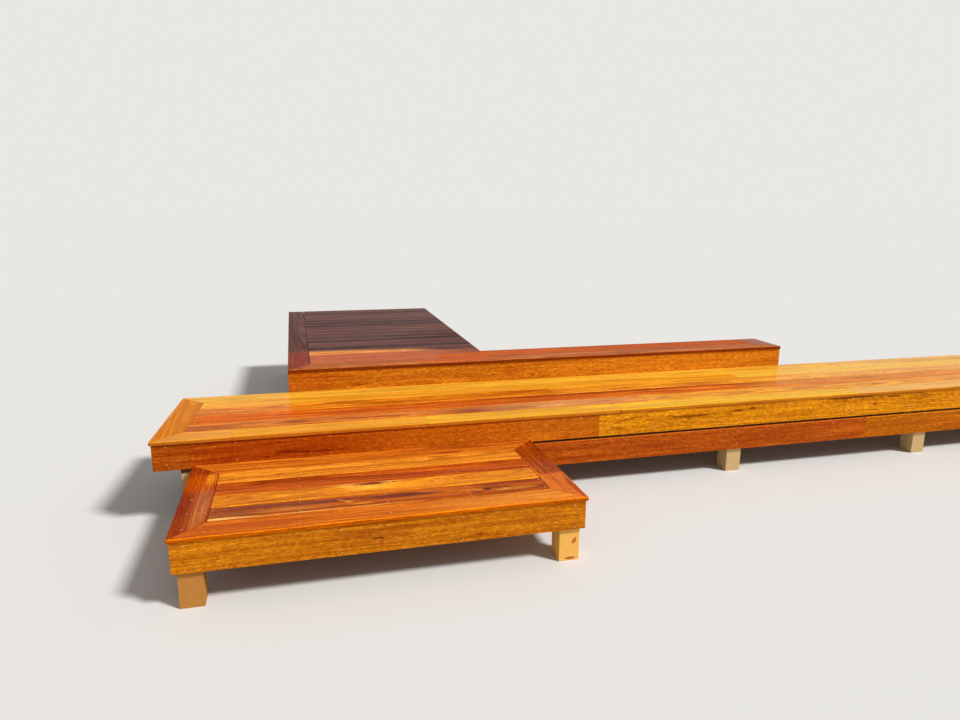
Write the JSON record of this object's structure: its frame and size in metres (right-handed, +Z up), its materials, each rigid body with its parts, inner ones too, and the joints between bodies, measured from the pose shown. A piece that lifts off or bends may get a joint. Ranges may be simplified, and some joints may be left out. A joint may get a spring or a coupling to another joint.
{
  "type": "three-level timber deck stair",
  "caption": "Low outdoor hardwood deck stair: picture-framed step, long deck and landing on treated pine posts.",
  "frame": {"origin": "centre of the bounding box, on the ground under the post feet", "axes": "+X along the deck, from the step's end to the far end; +Y from the step towards the landing; +Z up"},
  "size_m": [6.511, 4.263, 0.613],
  "materials": {
    "oiled_hardwood_red": "freshly oiled, glossy, red-brown",
    "oiled_hardwood_honey": "freshly oiled, glossy, honey to orange",
    "treated_pine": "sawn, matt, faint green tint"
  },
  "bodies": {
    "root": {"step_frame_front": "oiled_hardwood_honey", "step_frame_back": "oiled_hardwood_honey", "step_frame_left": "oiled_hardwood_red", "step_frame_right": "oiled_hardwood_red", "step_board_1": "oiled_hardwood_honey", "step_board_2": "oiled_hardwood_red", "step_board_3": "oiled_hardwood_honey", "step_board_4": "oiled_hardwood_red", "step_fascia_front": "oiled_hardwood_honey", "step_fascia_left": "oiled_hardwood_honey", "step_fascia_right": "oiled_hardwood_honey", "step_rims": "treated_pine", "step_joists": "treated_pine", "step_posts": "treated_pine", "deck_frame_front": "oiled_hardwood_honey", "deck_frame_back": "oiled_hardwood_honey", "deck_frame_left": "oiled_hardwood_honey", "deck_frame_right": "oiled_hardwood_honey", "deck_board_1": "oiled_hardwood_honey", "deck_board_2": "oiled_hardwood_red", "deck_board_3": "oiled_hardwood_red", "deck_board_4": "oiled_hardwood_red", "deck_fascia_upper": "oiled_hardwood_red", "deck_fascia_lower": "oiled_hardwood_red", "deck_fascia_left": "oiled_hardwood_red", "deck_fascia_right": "oiled_hardwood_honey", "deck_rim_front": "treated_pine", "deck_rim_back": "treated_pine", "deck_joists": "treated_pine", "deck_bearers": "treated_pine", "deck_stubs": "treated_pine", "deck_posts_front": "treated_pine", "deck_posts_back": "treated_pine", "landing_frame_front": "oiled_hardwood_red", "landing_frame_left": "oiled_hardwood_red", "landing_frame_right": "oiled_hardwood_red", "landing_boards": "oiled_hardwood_red", "landing_fascia": "oiled_hardwood_honey", "landing_rims": "treated_pine", "landing_rim_back": "treated_pine", "landing_bearer": "treated_pine", "landing_joists": "treated_pine", "landing_posts_front": "treated_pine", "landing_posts_middle": "treated_pine", "landing_posts_bearer": "treated_pine", "landing_posts_back": "treated_pine"}
  },
  "joints": []
}
